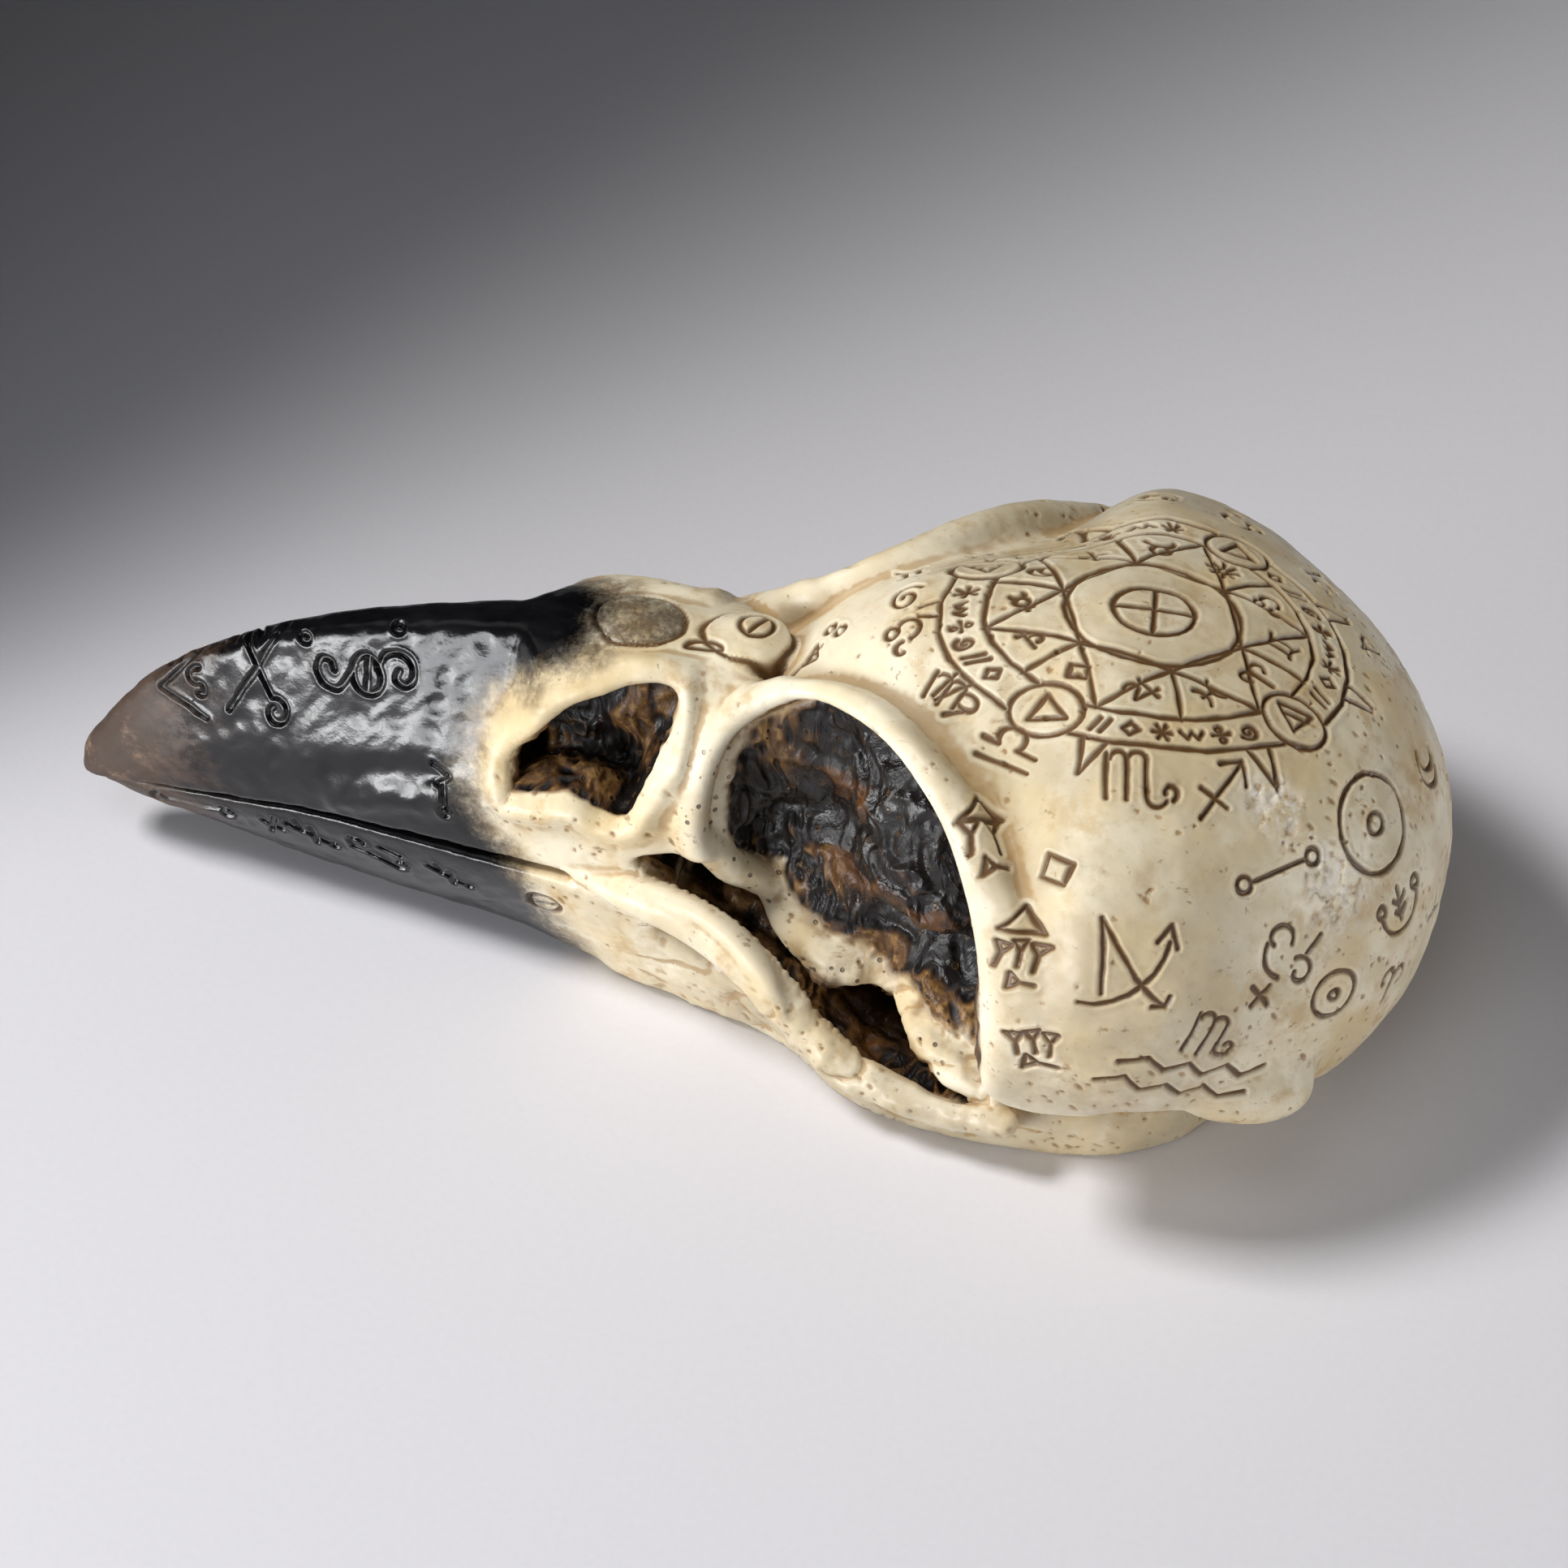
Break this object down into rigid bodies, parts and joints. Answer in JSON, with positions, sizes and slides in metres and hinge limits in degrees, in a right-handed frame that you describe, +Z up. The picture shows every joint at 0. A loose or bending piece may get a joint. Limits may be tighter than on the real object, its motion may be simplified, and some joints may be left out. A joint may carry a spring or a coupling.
{
  "type": "raven skull ornament in painted cast resin",
  "caption": "Raven skull ornament in painted cast resin, closed beak, open eye sockets and nostrils, lying on its jaw.",
  "frame": {"origin": "on the table, under the middle of the bounding box", "axes": "-X the way the beak points, +Z up, the plane y = 0 halves the skull; -Y is the bird's left side"},
  "size_m": [0.21, 0.104, 0.0793],
  "materials": {
    "ivory_resin": "cast resin painted bone ivory, umber wash in the engraving and pits, satin gloss varnish",
    "black_beak_lacquer": "gloss black lacquer over a streaky hammered texture, brown-grey dry brushing at the tip",
    "umber_hollows": "black and umber gloss paint, brown dry brushing on rough relief"
  },
  "bodies": {
    "root": {"braincase": "ivory_resin", "brow_and_socket_wall": "umber_hollows", "cheek_bar_left": "ivory_resin", "cheek_bar_right": "ivory_resin", "hinge_scale_front": "ivory_resin", "hinge_scale_rear": "ivory_resin", "jaw_curl_left": "ivory_resin", "jaw_curl_right": "ivory_resin", "jaw_ramus_left": "ivory_resin", "jaw_ramus_right": "ivory_resin", "lower_beak": "black_beak_lacquer", "nasal_face": "ivory_resin", "occipital_lobe_left": "ivory_resin", "occipital_lobe_right": "ivory_resin", "orbital_rim_left": "ivory_resin", "orbital_rim_right": "ivory_resin", "palate_ridge_left": "ivory_resin", "palate_ridge_right": "ivory_resin", "skull_base": "umber_hollows", "upper_beak": "black_beak_lacquer"}
  },
  "joints": []
}
